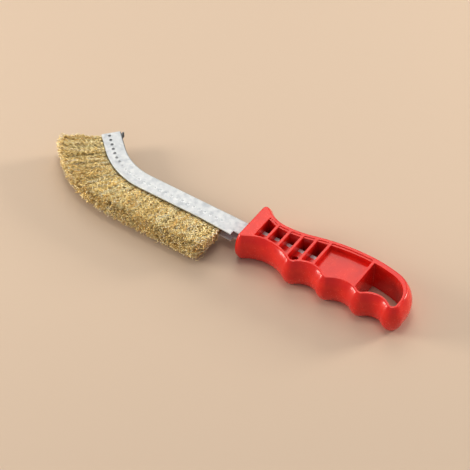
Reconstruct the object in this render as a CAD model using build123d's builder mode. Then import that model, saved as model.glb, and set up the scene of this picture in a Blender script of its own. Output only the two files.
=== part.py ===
from build123d import *
import os
from math import cos, radians, sin, sqrt

os.makedirs("parts", exist_ok=True)

# A hand wire brush, lying on its side. All sizes are in millimetres.
# The drawing's datum is on the handle's front face: +X runs from the brush head
# to the handle's end, +Y is the spine side, -Y the bristle side, and +Z is up
# from the table. The plane named datum puts the drawing in the part's own frame,
# whose origin is the middle of the whole box, on the table.

# Handle: one plastic moulding around the strip's tang
THICKNESS = 22.0
MIDDLE = THICKNESS / 2
BULGE = 4.0  # how far the barrel-shaped sides stand out at the parting line
BARREL_RADIUS = (MIDDLE**2 + BULGE**2) / (2 * BULGE)
BARREL_HEIGHTS = [0, 3.5, 7.5, MIDDLE, 14.5, 18.5, THICKNESS]
FRONT_FACE = -1.2
FRONT_CORNER = (1.0, -13.7)  # centre of the rounded corner on the finger side
FRONT_CORNER_RADIUS = 5.5
HORN = (1.2, 14.2)  # centre of the rounded horn on the spine side
HORN_RADIUS = 5.7
VALLEYS = [(18.0, -13.5), (52.0, -14.9), (77.5, -15.0), (101.2, -14.1)]
CRESTS = [(39.0, -20.1), (64.6, -19.3), (89.4, -18.8), (112.0, -18.1)]
CREST_RADIUS = 8.0
NECK = (21.0, 12.3)
NECK_RADIUS = 68.0
CROWN = (79.0, 20.4)
CROWN_RADIUS = 99.0
HANDLE_END = 120.0
END_RADIUS = 22.2
LIP_ROUND = 0.9

# Ribs, windows, panel and hanging hole
LIP = 1.5  # rim width on the finger side
SPINE_LIP = 3.6  # rim width on the spine side
LEDGE_WIDTH = 1.5
LEDGE_DEPTH = 0.5
RIB = 2.0
RIB_PITCH = 9.2
FIRST_RIB = 16.1
WINDOW_COUNT = 5
PANEL_END = 83.1
PANEL_DEPTH = 4.0
POCKET_CORNER = 0.7
TANG_COVER = 1.0  # plastic over each face of the tang
COVER_EDGE = -1.2  # the tang stands bare above this line
PIN_HOLE = (38.0, -7.6)  # left by the pin that holds the tang in the mould
PIN_RADIUS = 2.2
POCKET_ROUND = 0.3  # the ribs and the rim are eased by this much

# Back strip: a sheet-steel channel with a tang
SPINE = 3.0
SHEET = 1.0
CHANNEL_WIDTH = 7.0
BEND_RADIUS = 1.2
SIDE_HEIGHT = 13.8
HEEL_DROP = 1.3  # the sides grow this much deeper towards the heel
HEEL_START = -34.0
HEEL = -9.2
TANG_EDGE = -8.6
TANG_END = 52.0
CURVE_START = -84.0
CURVE_RADIUS = 46.0
CURVE_ANGLE = radians(42)
NOSE_LENGTH = 17.0
NOSE_CORNER = 1.2
NOTCH_RADIUS = 3.0  # of the notch that the pin goes through
CURL_LENGTH = 4.5
CURL_RISE = 2.2
CURL_WIDTH = 4.6
PUNCH_LINE = 8.4  # from the spine to the row of punch marks
PUNCH_RADIUS = 1.1
PUNCH_DEPTH = 0.55

# Wire fill: bundles folded over a core wire and clenched in the channel
FILL_START = -18.3
FILL_MARGIN = 0.4  # the fill stops this far short of the strip's nose
BUNDLE_COUNT = 27
CORE_RADIUS = 1.1
CORE_DEPTH = 3.2
# depth below the spine and half width of a bundle, from its fold to where it
# leaves the channel and begins to spread
BUNDLE_SHAPE = [(1.3, 1.5), (2.6, 2.45), (SIDE_HEIGHT + 1, 2.45)]
TIP_HALF_WIDTH = 10.5
TRIM_DEPTH = 41.0  # from the spine to the trimmed tips
NOSE_TRIM = 4.6  # the fill is this much longer at the nose
NOSE_LEAN = 1.2  # the tips at the nose lean forwards by this much
LEAN_REACH = 14.0
HEEL_LEAN = 5.0  # the tips at the heel are swept back this far towards the nose
SWEEP_REACH = 20.0

# Travel along the strip is measured on the row of punch marks, from the heel of
# the fill to the nose
row_radius = CURVE_RADIUS + PUNCH_LINE
straight_run = FILL_START - CURVE_START
curved_run = row_radius * CURVE_ANGLE
nose_travel = straight_run + curved_run + NOSE_LENGTH
fill_length = nose_travel - FILL_MARGIN
bundle_pitch = fill_length / BUNDLE_COUNT


def strip_point(travel, depth, lean=0.0):
    """Plan position at a travel along the strip and a depth below its spine."""
    along = travel - straight_run
    turn = min(max(along / row_radius, 0), CURVE_ANGLE)
    straight = min(along, 0) + max(along - curved_run, 0) + lean
    reach = CURVE_RADIUS + depth
    x = CURVE_START - reach * sin(turn) - straight * cos(turn)
    y = SPINE + CURVE_RADIUS - reach * cos(turn) + straight * sin(turn)
    return x, y


def tip_point(travel):
    """Plan position of the trimmed tips at a travel along the strip."""
    curve_share = min(max((travel - straight_run) / curved_run, 0), 1)
    growth = curve_share**2 * (3 - 2 * curve_share)
    lean = NOSE_LEAN * max(1 - (fill_length - travel) / LEAN_REACH, 0)
    sweep = HEEL_LEAN * max(1 - travel / SWEEP_REACH, 0)
    return strip_point(travel, TRIM_DEPTH + NOSE_TRIM * growth, lean + sweep)


foremost = tip_point(fill_length)[0]
highest = strip_point(nose_travel, -CURL_RISE)[1]
lowest = SPINE - TRIM_DEPTH
datum = Plane((-(foremost + HANDLE_END) / 2, -(highest + lowest) / 2, 0))


def s_curve(start, end, start_radius, heading):
    """Two tangent arcs between points where the outline runs along X."""
    run = end[0] - start[0]
    rise = end[1] - start[1]
    both_radii = (run**2 + rise**2) / (2 * abs(rise))
    share = start_radius / both_radii
    join = (start[0] + run * share, start[1] + rise * share)
    first = TangentArc(start, join, tangent=(heading, 0))
    TangentArc(join, end, tangent=first % 1)


def corner_join(centre, radius, dip, side):
    """Where a rounded front corner meets the hollow that follows it."""
    run = dip[0] - centre[0]
    rise = side * (dip[1] - centre[1])
    hollow = (run**2 + rise**2 - radius**2) / (2 * (radius - rise))
    share = radius / (radius + hollow)
    hollow_y = dip[1] + side * hollow
    return centre[0] + run * share, centre[1] + (hollow_y - centre[1]) * share


# The handle's outline at its parting line, all in tangent arcs
with BuildSketch() as outline:
    with BuildLine():
        front = HORN[0] - HORN_RADIUS
        Line((front, HORN[1]), (front, FRONT_CORNER[1]))
        corner_end = corner_join(FRONT_CORNER, FRONT_CORNER_RADIUS, VALLEYS[0], -1)
        corner = TangentArc((front, FRONT_CORNER[1]), corner_end, tangent=(0, -1))
        TangentArc(corner_end, VALLEYS[0], tangent=corner % 1)
        for index, (valley, crest) in enumerate(zip(VALLEYS, CRESTS)):
            rise = valley[1] - crest[1]
            span = crest[0] - valley[0]
            valley_radius = (span**2 + rise**2) / (2 * rise) - CREST_RADIUS
            s_curve(valley, crest, valley_radius, 1)
            if index + 1 < len(VALLEYS):
                s_curve(crest, VALLEYS[index + 1], CREST_RADIUS, 1)
        heel_corner = (HANDLE_END, CRESTS[-1][1] + CREST_RADIUS)
        TangentArc(CRESTS[-1], heel_corner, tangent=(1, 0))
        crown_centre = (CROWN[0], CROWN[1] - CROWN_RADIUS)
        end_x = HANDLE_END - END_RADIUS
        centres_apart = CROWN_RADIUS - END_RADIUS
        end_y = crown_centre[1] + sqrt(centres_apart**2 - (end_x - CROWN[0]) ** 2)
        share = CROWN_RADIUS / centres_apart
        crown_end = (
            CROWN[0] + (end_x - CROWN[0]) * share,
            crown_centre[1] + (end_y - crown_centre[1]) * share,
        )
        Line(heel_corner, (HANDLE_END, end_y))
        end_arc = TangentArc((HANDLE_END, end_y), crown_end, tangent=(0, 1))
        TangentArc(crown_end, CROWN, tangent=end_arc % 1)
        run = NECK[0] - CROWN[0]
        drop = CROWN[1] - NECK[1]
        s_curve(CROWN, NECK, (run**2 + drop**2) / (2 * drop) - NECK_RADIUS, -1)
        horn_end = corner_join(HORN, HORN_RADIUS, NECK, 1)
        neck_arc = TangentArc(NECK, horn_end, tangent=(-1, 0))
        TangentArc(horn_end, (front, HORN[1]), tangent=neck_arc % 1)
    make_face()


def rim_inside(spine_lip):
    """The face of the handle inside its rim, for a rim width on the spine side."""
    with BuildSketch() as inside:
        add(outline.sketch)
        offset(amount=-(BULGE + LIP), mode=Mode.REPLACE)
        shifted = inside.sketch.moved(Location((0, LIP - spine_lip)))
        add(shifted, mode=Mode.INTERSECT)
    return inside.sketch


def bay(region, start, end, low=-CROWN_RADIUS):
    """The stretch of a region between two ribs and above a line, with rounded corners."""
    with BuildSketch() as stretch:
        add(region)
        with Locations(((start + end) / 2, low)):
            Rectangle(
                end - start, 2 * CROWN_RADIUS, align=(Align.CENTER, Align.MIN), mode=Mode.INTERSECT
            )
        fillet(stretch.vertices(), POCKET_CORNER)
    return stretch.sketch


# Where each window and the panel start and end
window_width = RIB_PITCH - RIB
window_starts = [FIRST_RIB + RIB / 2 + RIB_PITCH * (i - 1) for i in range(WINDOW_COUNT)]
windows = [(start, start + window_width) for start in window_starts]
panel = (windows[-1][1] + RIB, PANEL_END)
tang_face = CHANNEL_WIDTH / 2 + TANG_COVER
window_depth = MIDDLE - tang_face

# Back strip: the folded section follows the spine line, then its sides are
# trimmed to their height, heel and tang
with BuildPart() as back_strip:
    with BuildLine(datum.offset(MIDDLE)) as spine_line:
        Line((TANG_END, SPINE), (CURVE_START, SPINE))
        ThreePointArc(
            (CURVE_START, SPINE),
            strip_point(straight_run + curved_run / 2, 0),
            strip_point(straight_run + curved_run, 0),
        )
        Line(strip_point(straight_run + curved_run, 0), strip_point(nose_travel, 0))
    section_plane = Plane(spine_line.line @ 0, x_dir=(0, 0, 1), z_dir=(-1, 0, 0))
    with BuildSketch(section_plane):
        section_height = SIDE_HEIGHT + 2 * HEEL_DROP
        with Locations((0, -section_height / 2)):
            outside = Rectangle(CHANNEL_WIDTH, section_height)
        fillet(outside.vertices().group_by(Axis.Y)[-1], BEND_RADIUS)
        with BuildSketch(mode=Mode.PRIVATE) as hollow:
            with Locations((0, -section_height / 2 - SHEET)):
                Rectangle(CHANNEL_WIDTH - 2 * SHEET, section_height)
            fillet(hollow.vertices().group_by(Axis.Y)[-1], BEND_RADIUS - SHEET)
        add(hollow.sketch, mode=Mode.SUBTRACT)
    sweep(path=spine_line.line)
    with BuildSketch(datum):
        with BuildLine():
            side = SPINE - SIDE_HEIGHT
            above = SPINE + 2
            curve_end = straight_run + curved_run
            mouth_nose = strip_point(nose_travel, SIDE_HEIGHT)
            Polyline(
                (CURVE_START, side),
                (HEEL_START, side),
                (HEEL, side - HEEL_DROP),
                (HEEL, TANG_EDGE),
                (TANG_END, TANG_EDGE),
                (TANG_END, above),
                (CURVE_START, above),
            )
            ThreePointArc(
                (CURVE_START, above),
                strip_point(straight_run + curved_run / 2, -2),
                strip_point(curve_end, -2),
            )
            Line(strip_point(curve_end, -2), strip_point(nose_travel, -2))
            Line(strip_point(nose_travel, -2), mouth_nose)
            Line(mouth_nose, strip_point(curve_end, SIDE_HEIGHT))
            ThreePointArc(
                strip_point(curve_end, SIDE_HEIGHT),
                strip_point(straight_run + curved_run / 2, SIDE_HEIGHT),
                (CURVE_START, side),
            )
        face = make_face()
        fillet(face.vertices().sort_by_distance(mouth_nose)[0], NOSE_CORNER)
        with Locations(PIN_HOLE):
            Circle(NOTCH_RADIUS, mode=Mode.SUBTRACT)
    extrude(amount=THICKNESS, mode=Mode.INTERSECT)
    # the end of the sheet curls up at the nose
    curl_start = nose_travel - CURL_LENGTH
    curl_middle = nose_travel - CURL_LENGTH / 2
    with BuildSketch(datum.offset(MIDDLE)):
        with BuildLine():
            top = ThreePointArc(
                strip_point(curl_start, 0),
                strip_point(curl_middle, -CURL_RISE / 4),
                strip_point(nose_travel, -CURL_RISE),
            )
            under = ThreePointArc(
                strip_point(curl_start, SHEET),
                strip_point(curl_middle, SHEET - CURL_RISE / 4),
                strip_point(nose_travel, SHEET - CURL_RISE),
            )
            Line(top @ 0, under @ 0)
            Line(top @ 1, under @ 1)
        make_face()
    extrude(amount=CURL_WIDTH / 2, both=True)
    # one punch mark on each side clenches each bundle
    punch_travels = [bundle_pitch * (i + 0.5) for i in range(BUNDLE_COUNT)]
    punch_sphere = (PUNCH_RADIUS**2 + PUNCH_DEPTH**2) / (2 * PUNCH_DEPTH)
    punch_offset = CHANNEL_WIDTH / 2 + punch_sphere - PUNCH_DEPTH
    for height in (MIDDLE - punch_offset, MIDDLE + punch_offset):
        with Locations(datum.offset(height)):
            with Locations([strip_point(travel, PUNCH_LINE) for travel in punch_travels]):
                Sphere(punch_sphere, mode=Mode.SUBTRACT)

back_strip.part.label = "back_strip"
export_step(back_strip.part, "parts/back_strip.step")

# Core wire: the bundles are folded over it
with BuildPart() as core_wire:
    with BuildLine(datum.offset(MIDDLE)) as core_line:
        Line((FILL_START, SPINE - CORE_DEPTH), (CURVE_START, SPINE - CORE_DEPTH))
        ThreePointArc(
            (CURVE_START, SPINE - CORE_DEPTH),
            strip_point(straight_run + curved_run / 2, CORE_DEPTH),
            strip_point(curve_end, CORE_DEPTH),
        )
        Line(strip_point(curve_end, CORE_DEPTH), strip_point(fill_length, CORE_DEPTH))
    with BuildSketch(Plane(core_line.line @ 0, z_dir=(-1, 0, 0))):
        Circle(CORE_RADIUS)
    sweep(path=core_line.line)

core_wire.part.label = "core_wire"
export_step(core_wire.part, "parts/core_wire.step")


def bundle_section(one, two, half_width):
    """An upright rectangle over the plan line between two points."""
    chord = Vector(*two) - Vector(*one)
    middle = datum.offset(MIDDLE).from_local_coords(Vector(*one) + chord / 2)
    upright = Plane(middle, x_dir=chord, z_dir=chord.cross(Vector(0, 0, 1)))
    with BuildSketch(upright) as section:
        Rectangle(chord.length, 2 * half_width)
    return section.sketch


# Wire bundles, from the heel to the nose, each one a solid that fans out from
# the channel to its trimmed tips
for number in range(1, BUNDLE_COUNT + 1):
    start = bundle_pitch * (number - 1)
    end = bundle_pitch * number
    with BuildPart() as wire_bundle:
        for depth, half_width in BUNDLE_SHAPE:
            add(bundle_section(strip_point(start, depth), strip_point(end, depth), half_width))
        add(bundle_section(tip_point(start), tip_point(end), TIP_HALF_WIDTH))
        loft(ruled=True)
        add(core_wire.part, mode=Mode.SUBTRACT)
    name = f"wire_bundle_{number:02d}"
    wire_bundle.part.label = name
    export_step(wire_bundle.part, f"parts/{name}.step")

# Handle
with BuildPart() as handle:
    for height in BARREL_HEIGHTS:
        rise = height - MIDDLE
        inset = BARREL_RADIUS - sqrt(BARREL_RADIUS**2 - rise**2)
        with BuildSketch(datum.offset(height)):
            add(outline.sketch)
            if inset > 0:
                offset(amount=-inset, mode=Mode.REPLACE)
    loft()
    split(bisect_by=Plane.YZ.offset(datum.origin.X + FRONT_FACE), keep=Keep.TOP)
    for face in (handle.faces().sort_by(Axis.Z)[0], handle.faces().sort_by(Axis.Z)[-1]):
        fillet(face.edges(), LIP_ROUND)
    # ledge, windows, panel and hanging hole, the same on both faces
    pockets = rim_inside(SPINE_LIP)
    ledge = rim_inside(SPINE_LIP - LEDGE_WIDTH)
    for start, end in windows + [panel]:
        for height in (0, THICKNESS - LEDGE_DEPTH):
            with BuildSketch(datum.offset(height)):
                add(bay(ledge, start, end))
            extrude(amount=LEDGE_DEPTH, mode=Mode.SUBTRACT)
    for start, end in windows:
        for height in (0, THICKNESS - window_depth):
            with BuildSketch(datum.offset(height)):
                add(bay(pockets, start, end))
            extrude(amount=window_depth, mode=Mode.SUBTRACT)
        with BuildSketch(datum):
            add(bay(pockets, start, end, low=COVER_EDGE))
        extrude(amount=THICKNESS, mode=Mode.SUBTRACT)
    with BuildSketch(datum):
        with Locations(PIN_HOLE):
            Circle(PIN_RADIUS)
    extrude(amount=THICKNESS, mode=Mode.SUBTRACT)
    for height in (0, THICKNESS - PANEL_DEPTH):
        with BuildSketch(datum.offset(height)):
            add(bay(pockets, *panel))
        extrude(amount=PANEL_DEPTH, mode=Mode.SUBTRACT)
    with BuildSketch(datum):
        add(bay(pockets, PANEL_END + RIB, HANDLE_END))
    extrude(amount=THICKNESS, mode=Mode.SUBTRACT)
    for face in (handle.faces().sort_by(Axis.Z)[0], handle.faces().sort_by(Axis.Z)[-1]):
        fillet(face.inner_wires().edges(), POCKET_ROUND)
    add(back_strip.part, mode=Mode.SUBTRACT)

handle.part.label = "handle"
export_step(handle.part, "parts/handle.step")
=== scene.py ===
# %% [markdown]
# A hand wire brush for cleaning welds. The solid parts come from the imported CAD
# model, which fixes every position and size. This lesson gives each part its
# finish, and puts real crimped wires where the CAD has closed blocks. A block could
# be given a bristly picture instead, but it would look flat from the side and at the
# tips, so each wire is made.

# %% Load the CAD parts
from math import cos, pi, radians, sin, tau

import bpy
import numpy as np
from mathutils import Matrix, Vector


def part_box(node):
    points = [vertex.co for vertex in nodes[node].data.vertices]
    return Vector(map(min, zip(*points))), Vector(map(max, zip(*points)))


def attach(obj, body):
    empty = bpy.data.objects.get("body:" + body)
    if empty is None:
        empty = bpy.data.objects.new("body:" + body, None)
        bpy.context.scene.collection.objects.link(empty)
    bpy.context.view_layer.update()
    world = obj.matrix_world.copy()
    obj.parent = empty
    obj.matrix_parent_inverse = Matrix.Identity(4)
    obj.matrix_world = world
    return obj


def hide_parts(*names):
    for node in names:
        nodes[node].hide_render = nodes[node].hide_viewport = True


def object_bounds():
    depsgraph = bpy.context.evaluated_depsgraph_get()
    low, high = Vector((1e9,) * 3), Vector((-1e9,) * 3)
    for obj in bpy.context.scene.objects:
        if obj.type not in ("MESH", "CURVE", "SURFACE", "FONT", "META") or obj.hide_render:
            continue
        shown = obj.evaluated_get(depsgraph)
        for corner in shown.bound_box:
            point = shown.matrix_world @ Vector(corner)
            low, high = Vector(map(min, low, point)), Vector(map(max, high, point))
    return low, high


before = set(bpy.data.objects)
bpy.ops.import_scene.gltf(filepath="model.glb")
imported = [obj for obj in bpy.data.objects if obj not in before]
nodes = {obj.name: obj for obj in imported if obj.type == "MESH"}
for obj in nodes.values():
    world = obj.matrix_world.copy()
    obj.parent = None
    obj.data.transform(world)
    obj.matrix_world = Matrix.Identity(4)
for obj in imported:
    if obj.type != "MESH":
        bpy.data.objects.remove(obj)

cad_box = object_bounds()
bundle_names = sorted(name for name in nodes if name.startswith("wire_bundle"))
print("CAD box", cad_box)
print(len(nodes), "CAD parts, of which", len(bundle_names), "are wire bundles")

# %% [markdown]
# Camera. The brush lies on its side, seen from above one long side, with the head
# pointing away to the left. A long lens from more than a metre away keeps the long
# shape from tapering. The camera is placed by the angle round the brush, the height
# angle and the distance, because those are what one changes when framing a shot.

# %% Place the camera
VIEW_TURN = radians(34.3)
VIEW_HEIGHT = radians(46.47)
VIEW_DISTANCE = 1.1384
LENS = 131.3
AIM = Vector((0.00528, 0.00525, 0.0))

to_right = Vector((cos(VIEW_TURN), sin(VIEW_TURN), 0))
to_back = Vector((-sin(VIEW_TURN), cos(VIEW_TURN), 0))
to_camera = Vector((0, 0, sin(VIEW_HEIGHT))) - to_back * cos(VIEW_HEIGHT)

camera = bpy.data.objects.new("camera", bpy.data.cameras.new("camera"))
camera.data.lens = LENS
camera.data.sensor_width = 36
camera.data.clip_end = 20
camera.location = AIM + to_camera * VIEW_DISTANCE
camera.rotation_euler = (-to_camera).to_track_quat("-Z", "Y").to_euler()
bpy.context.scene.collection.objects.link(camera)
bpy.context.scene.camera = camera
print("camera at", tuple(round(c, 3) for c in camera.location))

# %% [markdown]
# Light. One large softbox behind the brush whitens the upward faces and lets a soft
# shadow fall towards the camera, and a weaker one above opens that shadow. Two small
# ones stand low at the sides, because glossy plastic looks glossy only where its
# rounded edges mirror a lamp. Area lamps do all of this. The pale surroundings fill
# in the rest, and a gamma a little under 1 keeps the reds deep.

# %% Make the lamps
LAMP_TINT = (1, 0.95, 0.86)


def area_lamp(name, right, back, up, size, watts):
    """A square soft lamp, placed as seen from the camera, shining at the brush."""
    lamp = bpy.data.lights.new(name, "AREA")
    lamp.size = size
    lamp.energy = watts
    lamp.color = LAMP_TINT
    holder = bpy.data.objects.new(name, lamp)
    holder.location = to_right * right + to_back * back + Vector((0, 0, up))
    holder.rotation_euler = (-holder.location).to_track_quat("-Z", "Y").to_euler()
    bpy.context.scene.collection.objects.link(holder)
    print(name, round(holder.location.length, 2), "m from the brush,", watts, "W")


area_lamp("softbox_left", right=-1.1, back=0.15, up=0.34, size=0.45, watts=9)
area_lamp("softbox_right", right=1.1, back=0.35, up=0.4, size=0.32, watts=8)
area_lamp("softbox_behind", right=0, back=0.95, up=1.1, size=0.8, watts=4.2)
area_lamp("softbox_above", right=0, back=0.1, up=1.5, size=0.5, watts=4)

world = bpy.data.worlds.new("studio")
world.use_nodes = True
surroundings = world.node_tree.nodes["Background"]
surroundings.inputs["Color"].default_value = (0.93, 0.96, 1, 1)
surroundings.inputs["Strength"].default_value = 0.5
bpy.context.scene.world = world
bpy.context.scene.view_settings.view_transform = "Standard"
bpy.context.scene.view_settings.gamma = 0.82

# %% [markdown]
# Shader maths. A procedural finish is a sum of patterns, and a sum is easier to read
# as 1 - mask * 0.3 than as a row of Math nodes. This class holds one output of a
# node. Its operators add the Math nodes, and its add method makes any other node.

# %% Define the shader helper
class Shade:
    """One output of a shader node, which can be used in arithmetic."""

    def __init__(self, tree, output=None):
        self.tree = tree
        self.output = output

    def add(self, kind, settings=None, inputs=None, output=0):
        """Makes a node: its settings come first, then its sockets' values or links."""
        node = self.tree.nodes.new(kind)
        for name, value in (settings or {}).items():
            setattr(node, name, value)
        for name, value in (inputs or {}).items():
            if isinstance(value, Shade):
                self.tree.links.new(value.output, node.inputs[name])
            else:
                node.inputs[name].default_value = value
        return Shade(self.tree, node.outputs[output])

    def math(self, operation, first, second=0.0):
        settings = {"operation": operation}
        return self.add("ShaderNodeMath", settings, {0: first, 1: second})

    def __add__(self, other):
        return self.math("ADD", self, other)

    def __sub__(self, other):
        return self.math("SUBTRACT", self, other)

    def __rsub__(self, other):
        return self.math("SUBTRACT", other, self)

    def __mul__(self, other):
        return self.math("MULTIPLY", self, other)

    __radd__ = __add__
    __rmul__ = __mul__

    def blend(self, first, second):
        """A colour that goes from the first to the second as this value goes up."""
        settings = {"data_type": "RGBA"}
        return self.add("ShaderNodeMix", settings, {0: self, 6: first, 7: second}, 2)

    def between(self, low, high):
        """0 below low, 1 above high and smooth in between."""
        settings = {"interpolation_type": "SMOOTHSTEP"}
        inputs = {"Value": self, "From Min": low, "From Max": high}
        return self.add("ShaderNodeMapRange", settings, inputs)

    def absolute(self):
        return self.math("ABSOLUTE", self)

    def axis(self, letter):
        """The X, Y or Z of this vector."""
        return self.add("ShaderNodeSeparateXYZ", None, {"Vector": self}, letter)

    def noise(self, scale, detail):
        """A cloudy pattern of values round a half, at this place."""
        inputs = {"Vector": self, "Scale": scale, "Detail": detail}
        return self.add("ShaderNodeTexNoise", None, inputs)


def new_finish(name, **constants):
    """A material, its Principled shader with constant sockets set, and a Shade."""
    finish = bpy.data.materials.new(name)
    finish.use_nodes = True
    shader = finish.node_tree.nodes["Principled BSDF"]
    for socket, value in constants.items():
        shader.inputs[socket.replace("_", " ")].default_value = value
    return finish, shader, Shade(finish.node_tree)


def feed(shader, socket, shade):
    shade.tree.links.new(shade.output, shader.inputs[socket])


def feed_relief(shader, relief, strength, distance):
    """Sends a height through a Bump node to the shader's Normal."""
    inputs = {"Height": relief, "Strength": strength, "Distance": distance}
    feed(shader, "Normal", relief.add("ShaderNodeBump", None, inputs, "Normal"))


def wear(part, finish):
    """Gives a part this finish in place of its own."""
    part.data.materials.clear()
    part.data.materials.append(finish)
    print(part.name, "wears", finish.name)


# %% [markdown]
# Red plastic. The handle is one injection moulding in polypropylene. Its skin is a
# fine spark-eroded grain with slow hollows where the thick walls shrank, and a thin
# witness line where the two halves of the mould met. All three are bumps, so one
# height is added up and goes through one Bump node. Handling polishes the plastic
# unevenly, which shows in the roughness, and leaves light scuffs, which pale it.

# %% Mix the red plastic
MIDDLE = (cad_box[0][2] + cad_box[1][2]) / 2  # the brush is the same above and below
red_plastic, shader, shade = new_finish(
    "red_plastic", Specular_IOR_Level=0.4, Coat_Weight=0.5, Coat_Roughness=0.16
)
place = shade.add("ShaderNodeTexCoord", output="Object")
grain = place.noise(2600, 2)
hollows = place.noise(55, 2)
handled = place.noise(140, 4)
off_seam = (place.axis("Z") - MIDDLE).absolute()
seam = 1 - off_seam.between(0.00006, 0.0002)
scuffs = place.noise(900, 5).between(0.56, 0.72)

deep_red = (0.72, 0.016, 0.010, 1)
bright_red = (0.80, 0.030, 0.014, 1)
pale_red = (0.82, 0.09, 0.05, 1)
tone = handled.between(0.3, 0.7).blend(deep_red, bright_red)
feed(shader, "Base Color", (scuffs * 0.05).blend(tone, pale_red))
feed(shader, "Roughness", 0.20 + handled * 0.10 + scuffs * 0.04)
relief = grain * 0.01 + hollows * 0.9 + seam * 0.35
feed_relief(shader, relief, strength=0.35, distance=0.0003)
wear(nodes["handle"], red_plastic)

# %% [markdown]
# Galvanised sheet. Zinc freezes on the steel in flat crystals, so the bright surface
# is a patchwork of slightly different greys, each with its own polish. A Voronoi
# texture gives one random value per cell, which is just what a crystal needs. A dull
# film gathers in places. The bends and the folded edges, where the surface turns away
# from upright, get painted shade. Each punch mark gets a painted highlight, except at
# the nose, where the marks get painted shade. How far a point lies below the flat
# face tells a mark from the face, so no mark has to be placed by hand.

# %% Mix the galvanised sheet
CHANNEL_FACE = 0.0035  # from the middle plane to the outside of the channel
FOLD_BELOW_SPINE = 0.0013  # the bundles' folds lie this deep in the channel
MARK_DEPTH = 0.0005  # nearly all of a punch mark is shallower than this
STRAIGHT_BUNDLE = bundle_names[5]
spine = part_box(STRAIGHT_BUNDLE)[1][1] + FOLD_BELOW_SPINE
nose_end = cad_box[0][0]
galvanised, shader, shade = new_finish("galvanised_sheet", Metallic=0.35)
place = shade.add("ShaderNodeTexCoord", output="Object")
crystal = shade.add(
    "ShaderNodeTexVoronoi", {"feature": "F1"}, {"Vector": place, "Scale": 420}, "Color"
)
crystal_tone = shade.add("ShaderNodeSeparateColor", None, {"Color": crystal}, "Red")
film = place.noise(260, 4).between(0.45, 0.75)
fine = place.noise(1800, 3)
below_face = CHANNEL_FACE - (place.axis("Z") - MIDDLE).absolute()
worked = below_face.between(0.00003, 0.00030)
# the part near the nose, whose punch marks get painted shade
at_nose = 1 - place.axis("X").between(nose_end + 0.034, nose_end + 0.060)
facing = shade.add("ShaderNodeNewGeometry", output="Normal")
turned_away = (1 - facing.axis("Z").absolute()).between(0.03, 0.35)
past_marks = below_face.between(MARK_DEPTH, MARK_DEPTH + 0.0006)
at_spine = place.axis("Y").between(spine - 0.0016, spine - 0.0008)
bright_zinc = (0.68, 0.69, 0.70, 1)
grey_zinc = (0.54, 0.57, 0.60, 1)
dull_zinc = (0.40, 0.43, 0.47, 1)
# the colour of the painted shade in the nose marks and on the edges
painted_shade_zinc = (0.10, 0.11, 0.12, 1)
# the colour of the painted highlight in the punch marks
painted_highlight_zinc = (0.93, 0.94, 0.95, 1)
zinc = (crystal_tone * 0.5).blend(bright_zinc, grey_zinc)
sheet = (film * 0.45).blend(zinc, dull_zinc)
# painted highlight: the punch marks away from the nose are whitened against their shade
with_mark_highlights = (worked * (1 - at_nose) * 0.8).blend(sheet, painted_highlight_zinc)
# painted shade: the punch marks near the nose are darkened
marked = (worked * at_nose * 0.7).blend(with_mark_highlights, painted_shade_zinc)
# painted shade on the bends and folded edges, where the surface turns away from upright
edges = turned_away * (past_marks + at_spine) * 0.75
feed(shader, "Base Color", edges.blend(marked, painted_shade_zinc))
feed(shader, "Roughness", 0.40 + crystal_tone * 0.10 + film * 0.10 + worked * 0.12)
relief = fine * 0.3 + crystal_tone * 0.12
feed_relief(shader, relief, strength=0.3, distance=0.0002)
wear(nodes["back_strip"], galvanised)

# %% [markdown]
# Core wire. The bundles are folded over a plain drawn steel wire, which shows only
# at the two ends of the channel. Drawing leaves it grey and a little streaky.

# %% Mix the drawn steel
core_steel, shader, shade = new_finish("core_steel", Metallic=1.0)
place = shade.add("ShaderNodeTexCoord", output="Object")
streaks = place.noise(700, 4)
feed(shader, "Base Color", streaks.blend((0.30, 0.30, 0.31, 1), (0.58, 0.57, 0.55, 1)))
feed(shader, "Roughness", 0.3 + streaks * 0.25)
wear(nodes["core_wire"], core_steel)

# %% [markdown]
# Wire finishes. A wire is a third of a millimetre thick, so nobody sees a pattern on
# it: what varies is the colour from wire to wire, as the brass coat is thick on one
# and worn on the next. The wires are sorted into lots, each with its own colour and
# polish, and every wire is given one lot.

# %% Mix the wire lots
WIRE_LOTS = [
    # name, share of the wires, colour, roughness
    ("brass_gold", 0.34, (0.98, 0.79, 0.39, 1), 0.40),
    ("brass_pale", 0.33, (1.00, 0.90, 0.58, 1), 0.34),
    ("brass_deep", 0.16, (0.84, 0.60, 0.26, 1), 0.44),
    ("brass_brown", 0.05, (0.50, 0.35, 0.15, 1), 0.46),
    ("brass_worn", 0.12, (0.97, 0.91, 0.76, 1), 0.36),
]
wire_finishes = []
for name, share, colour, roughness in WIRE_LOTS:
    finish, shader, shade = new_finish(
        name, Base_Color=colour, Metallic=0.8, Roughness=roughness
    )
    wire_finishes.append(finish)
print([finish.name for finish in wire_finishes])

# %% [markdown]
# Where a bundle runs. Each CAD bundle is a block with four straight sections: the
# fold over the core wire, the shoulder, the channel's mouth and the trimmed tips.
# The tips stand furthest from the middle plane. The fold and the shoulder have known
# half widths. Among the corners with that width, the fold's are the furthest from the
# tips, and the shoulder's are the nearest to the fold. The mouth lies on the line
# from the fold through the shoulder. So each bundle's place comes from its own block,
# and only its thickness and its depth in the channel are given here.

# %% Read the sections of a bundle
FOLD_HALF_WIDTH = 0.0015
CHANNEL_HALF_WIDTH = 0.00245
MOUTH_REACH = 0.0135  # from a bundle's fold to where it leaves the channel
SAME = 0.00001  # corners this close to a section's half width belong to it
NEAR = 0.0007  # corners this close in depth belong to one section


def ends(corners):
    """The corner nearest the heel and the corner nearest the nose."""
    order = corners[:, 0].argsort()
    return corners[[order[-1], order[0]]]


def distance_from(pair, corners):
    return np.linalg.norm(corners - pair.mean(axis=0), axis=1)


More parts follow.
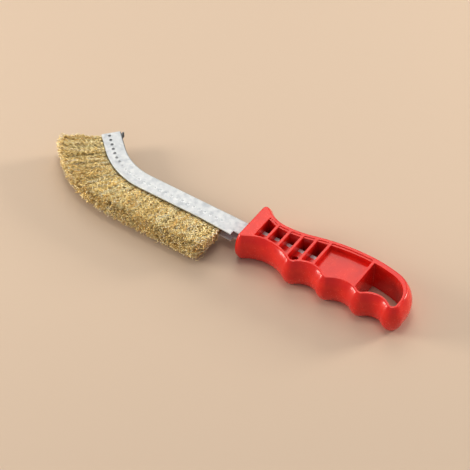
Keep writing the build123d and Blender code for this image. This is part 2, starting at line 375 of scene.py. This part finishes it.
def bundle_sections(block):
    """(heel point, nose point, half width) of the four sections, from fold to tips."""
    points = np.array([v.co for v in block.data.vertices])
    stand_off = np.abs(points[:, 2] - MIDDLE)
    tip_half_width = stand_off.max()
    tips = ends(points[stand_off > tip_half_width - SAME, :2])
    fold = points[np.abs(stand_off - FOLD_HALF_WIDTH) < SAME, :2]
    away = distance_from(tips, fold)
    fold = ends(fold[away > away.max() - NEAR])
    shoulder = points[np.abs(stand_off - CHANNEL_HALF_WIDTH) < SAME, :2]
    away = distance_from(fold, shoulder)
    shoulder = ends(shoulder[away < away.min() + NEAR])
    inward = shoulder - fold
    mouth = fold + inward * MOUTH_REACH / np.linalg.norm(inward, axis=1, keepdims=True)
    widths = [FOLD_HALF_WIDTH, CHANNEL_HALF_WIDTH, CHANNEL_HALF_WIDTH, tip_half_width]
    return [(*ring, width) for ring, width in zip([fold, shoulder, mouth, tips], widths)]


for name in bundle_names:
    spans = [np.linalg.norm(heel - nose) for heel, nose, _ in bundle_sections(nodes[name])]
    print(name, "runs along the strip for, in mm,", [round(1000 * span, 1) for span in spans])

# %% [markdown]
# One wire. It comes up from its tip, passes over the core wire and goes down to its
# other tip. In the channel it is squeezed straight. From the mouth on it fans out, it
# wanders, and it waves, because the wire is crimped between gears before it is cut.
# The crimp is a sine across the wire's own line, and the wandering is a longer one.
# Wires that came off one spool nest in small tufts, which share most of their wave,
# and this is what gives the fill its knitted look. At the heel nothing backs the
# fill, so its first bundles bow outwards. A spline with a round bevel could draw a
# wire, but thousands of splines are slow, so the lines of a whole bundle are worked
# out together as arrays.

# %% Work out the lines of a bundle's wires
WIRE_RADIUS = 0.00018
WIRES_PER_BUNDLE = 108
TUFT_SIZE = 5  # wires in one tuft
TUFT_WIDTH = 0.035  # scatter of a tuft's wires between the middle plane and outside
TUFT_LENGTH = 0.08  # scatter of a tuft's wires along the strip
INNERMOST = 0.02  # places of the tufts between the middle plane and the outside
OUTERMOST = 0.84
ALONG_STRIP = (0.03, 0.97)  # places of the tufts from a bundle's heel to its nose side
CRIMP_LENGTH = 0.0036
CRIMP_DEPTH = 0.00070
WANDER_LENGTH = 0.015
WANDER_DEPTH = 0.0010
WAVE_STRETCH = (0.88, 1.12)  # how much the tufts differ in the length of a wave
WAVE_TURN = 0.35 * pi  # how far a tuft's waves turn from the strip towards upright
PHASE_SCATTER = 0.45  # differences between the wires of one tuft, in radians
TURN_SCATTER = 0.25
FREED_BY = 0.08  # share of the free length after which the waves are at full depth
TIP_STRAY = 0.0013  # how far the tips stray along the strip and upwards
LOOSE_STRAY = 0.0030
LOOSE_SHARE = 0.06
TIP_LIFT = 0.0009
STRAY_GROWTH = 1.5  # straying grows with this power of the distance from the mouth
UNEVEN_CUT = 0.12  # share of the free length by which the cut varies
ROUNDED_CUT = 0.15  # share of it by which the outside of the fill is shorter
HEEL_BOW = 0.0024  # the loose heel of the fill bulges out by this much
LOOP_RADII = (0.0013, 0.0016)  # just clear of the core wire
CORE_BELOW_SHOULDER = 0.0006
LEG_POINTS = 44
LOOP_POINTS = 7
UPRIGHT = np.array([0, 0, 1])
lowest_point = np.array(cad_box[0]) + WIRE_RADIUS
highest_point = np.array(cad_box[1]) - WIRE_RADIUS
random = np.random.default_rng(27)


def per_tuft(low, high, tuft):
    """One random value for each tuft, repeated for the tuft's wires."""
    return random.uniform(low, high, tuft[-1] + 1)[tuft]


def wave(distance, length, depth, along, tuft):
    """A sideways sine. The wires of a tuft nest in one another, so they nearly share it."""
    count = len(tuft)
    phase = per_tuft(0, tau, tuft) + random.normal(0, PHASE_SCATTER, count)
    turn = per_tuft(-WAVE_TURN, WAVE_TURN, tuft) + random.normal(0, TURN_SCATTER, count)
    turn = turn[:, None, None]
    pitch = length * per_tuft(*WAVE_STRETCH, tuft)
    swing = depth * np.sin(tau * distance / pitch[:, None] + phase[:, None])
    return swing[..., None] * (np.cos(turn) * along + np.sin(turn) * UPRIGHT)


def wire_leg(sections, side, across, along, tuft, bow):
    """The lines from the mouth to the tips, for the legs on one side of the core."""
    heel = np.array([section[0] for section in sections])
    nose = np.array([section[1] for section in sections])
    half = [section[2] for section in sections]
    count = len(tuft)
    spread = per_tuft(INNERMOST, OUTERMOST, tuft) + random.normal(0, TUFT_WIDTH, count)
    spread = np.clip(spread, INNERMOST / 2, OUTERMOST + 0.04)[:, None]
    # the outermost wires splay and curl in use, so they reach less deep
    cut = 1 - random.uniform(0, UNEVEN_CUT, (count, 1)) - ROUNDED_CUT * spread**3
    share = np.linspace(0, 1, LEG_POINTS)[None, :] * cut
    mouth = heel[2] + (nose[2] - heel[2]) * across[:, None]
    tips = heel[3] + (nose[3] - heel[3]) * across[:, None]
    plan = mouth[:, None] + (tips - mouth)[:, None] * share[..., None]
    rise = side * spread * (half[2] + (half[3] - half[2]) * share)
    line = np.dstack([plan, MIDDLE + rise])
    distance = share * np.linalg.norm(tips - mouth, axis=1)[:, None]
    loosened = np.clip(share / FREED_BY, 0, 1)[..., None]
    crimp = wave(distance, CRIMP_LENGTH, CRIMP_DEPTH, along, tuft)
    wander = wave(distance, WANDER_LENGTH, WANDER_DEPTH, along, tuft)
    loose = random.random(count) < LOOSE_SHARE
    stray = random.normal(0, np.where(loose, LOOSE_STRAY, TIP_STRAY))[:, None, None]
    lift = random.normal(0, TIP_LIFT, count)[:, None, None]
    line += (crimp + wander) * loosened
    line += (stray * along + lift * UPRIGHT) * share[..., None] ** STRAY_GROWTH
    line -= bow * np.sin(pi * share)[..., None] * along
    return np.clip(line, lowest_point, highest_point)


def wire_lines(sections, count, bow=0.0):
    """Centre lines of count folded wires, and the direction of the strip there."""
    (fold_heel, fold_nose, _), (heel, nose, _), (mouth_heel, mouth_nose, _), _ = sections
    along = np.append(mouth_nose - mouth_heel, 0)
    along /= np.linalg.norm(along)
    tuft = np.arange(count) // TUFT_SIZE
    across = per_tuft(*ALONG_STRIP, tuft) + random.normal(0, TUFT_LENGTH, count)
    across = np.clip(across, 0.0, 1.0)
    low_leg = wire_leg(sections, -1, across, along, tuft, bow)
    high_leg = wire_leg(sections, 1, across, along, tuft, bow)
    # the loop, a half circle round the core wire
    inward = mouth_heel + mouth_nose - fold_heel - fold_nose
    inward /= np.linalg.norm(inward)
    shoulder = heel + (nose - heel) * across[:, None]
    reach = random.uniform(*LOOP_RADII, (count, 1))
    bend = np.linspace(-pi / 2, pi / 2, LOOP_POINTS)[None, :]
    depth = CORE_BELOW_SHOULDER - reach * np.cos(bend)
    plan = shoulder[:, None] + depth[..., None] * inward
    loop = np.dstack([plan, MIDDLE + reach * np.sin(bend)])
    return np.concatenate([low_leg[:, ::-1], loop, high_leg], axis=1), along


sample, _ = wire_lines(bundle_sections(nodes[bundle_names[0]]), 4)
print("one bundle's wires:", sample.shape)

# %% [markdown]
# From lines to tubes. Round each line a ring of four points is set at every point,
# square to the line, and neighbouring rings are joined with faces. Four sides with
# smooth shading look round at this thickness. The cut ends are closed. Each bundle
# becomes one piece, which takes the place of its CAD block.

# %% Build a bundle of wires
SIDES = 4


def tube_mesh(name, lines, along, radius):
    """One mesh of tubes round the lines. Also gives the number of faces per wire."""
    count, points, _ = lines.shape
    heading = np.gradient(lines, axis=1)
    heading /= np.linalg.norm(heading, axis=2, keepdims=True)
    first = np.cross(heading, along)
    first /= np.linalg.norm(first, axis=2, keepdims=True)
    second = np.cross(heading, first)
    angle = tau * np.arange(SIDES) / SIDES
    ring = first[:, :, None] * np.cos(angle)[:, None] + second[:, :, None] * np.sin(angle)[:, None]
    verts = lines[:, :, None] + radius * ring
    at = np.arange(points - 1)[:, None] * SIDES
    side = np.arange(SIDES)[None, :]
    turned = (side + 1) % SIDES
    quads = np.stack([at + side, at + turned, at + SIDES + turned, at + SIDES + side], -1)
    quads = quads.reshape(-1, 4)
    caps = np.array([[3, 2, 1, 0], [0, 1, 2, 3]]) + [[0], [(points - 1) * SIDES]]
    wire_faces = np.concatenate([quads, caps])
    start = np.arange(count)[:, None, None] * points * SIDES
    faces = (wire_faces[None] + start).reshape(-1, 4)
    mesh = bpy.data.meshes.new(name)
    mesh.from_pydata(verts.reshape(-1, 3).tolist(), [], faces.tolist())
    mesh.shade_smooth()
    return mesh, len(wire_faces)


def fill_bundle(name, count, bow):
    """Puts crimped wires in the place of one CAD bundle."""
    lines, along = wire_lines(bundle_sections(nodes[name]), count, bow)
    mesh, per_wire = tube_mesh(name.replace("bundle", "fill"), lines, along, WIRE_RADIUS)
    piece = bpy.data.objects.new(mesh.name, mesh)
    bpy.context.scene.collection.objects.link(piece)
    for finish in wire_finishes:
        mesh.materials.append(finish)
    shares = np.array([lot[1] for lot in WIRE_LOTS])
    lots = random.choice(len(WIRE_LOTS), count, p=shares / shares.sum())
    mesh.polygons.foreach_set("material_index", np.repeat(lots, per_wire).astype(np.int32))
    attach(piece, "root")
    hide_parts(name)
    return piece


BOWED_BUNDLES = 4
faces_made = 0
for index, name in enumerate(bundle_names):
    heel_share = max(1 - index / BOWED_BUNDLES, 0)
    piece = fill_bundle(name, WIRES_PER_BUNDLE, HEEL_BOW * heel_share)
    faces_made += len(piece.data.polygons)
print(faces_made, "faces in", len(bundle_names), "bundles")

# %% [markdown]
# Floor. A plain pale sheet, wide enough to fill the view, so that nothing draws the
# eye from the brush. It isn't part of the brush.

# %% Lay the floor
FLOOR_REACH = 3.0
floor_mesh = bpy.data.meshes.new("floor")
around = [(-1, -1), (1, -1), (1, 1), (-1, 1)]
corners = [(x * FLOOR_REACH, y * FLOOR_REACH, 0) for x, y in around]
floor_mesh.from_pydata(corners, [], [(0, 1, 2, 3)])
floor = bpy.data.objects.new("floor", floor_mesh)
bpy.context.scene.collection.objects.link(floor)
floor_finish, shader, shade = new_finish(
    "pale_sheet", Base_Color=(0.68, 0.54, 0.42, 1), Roughness=0.7
)
wear(floor, floor_finish)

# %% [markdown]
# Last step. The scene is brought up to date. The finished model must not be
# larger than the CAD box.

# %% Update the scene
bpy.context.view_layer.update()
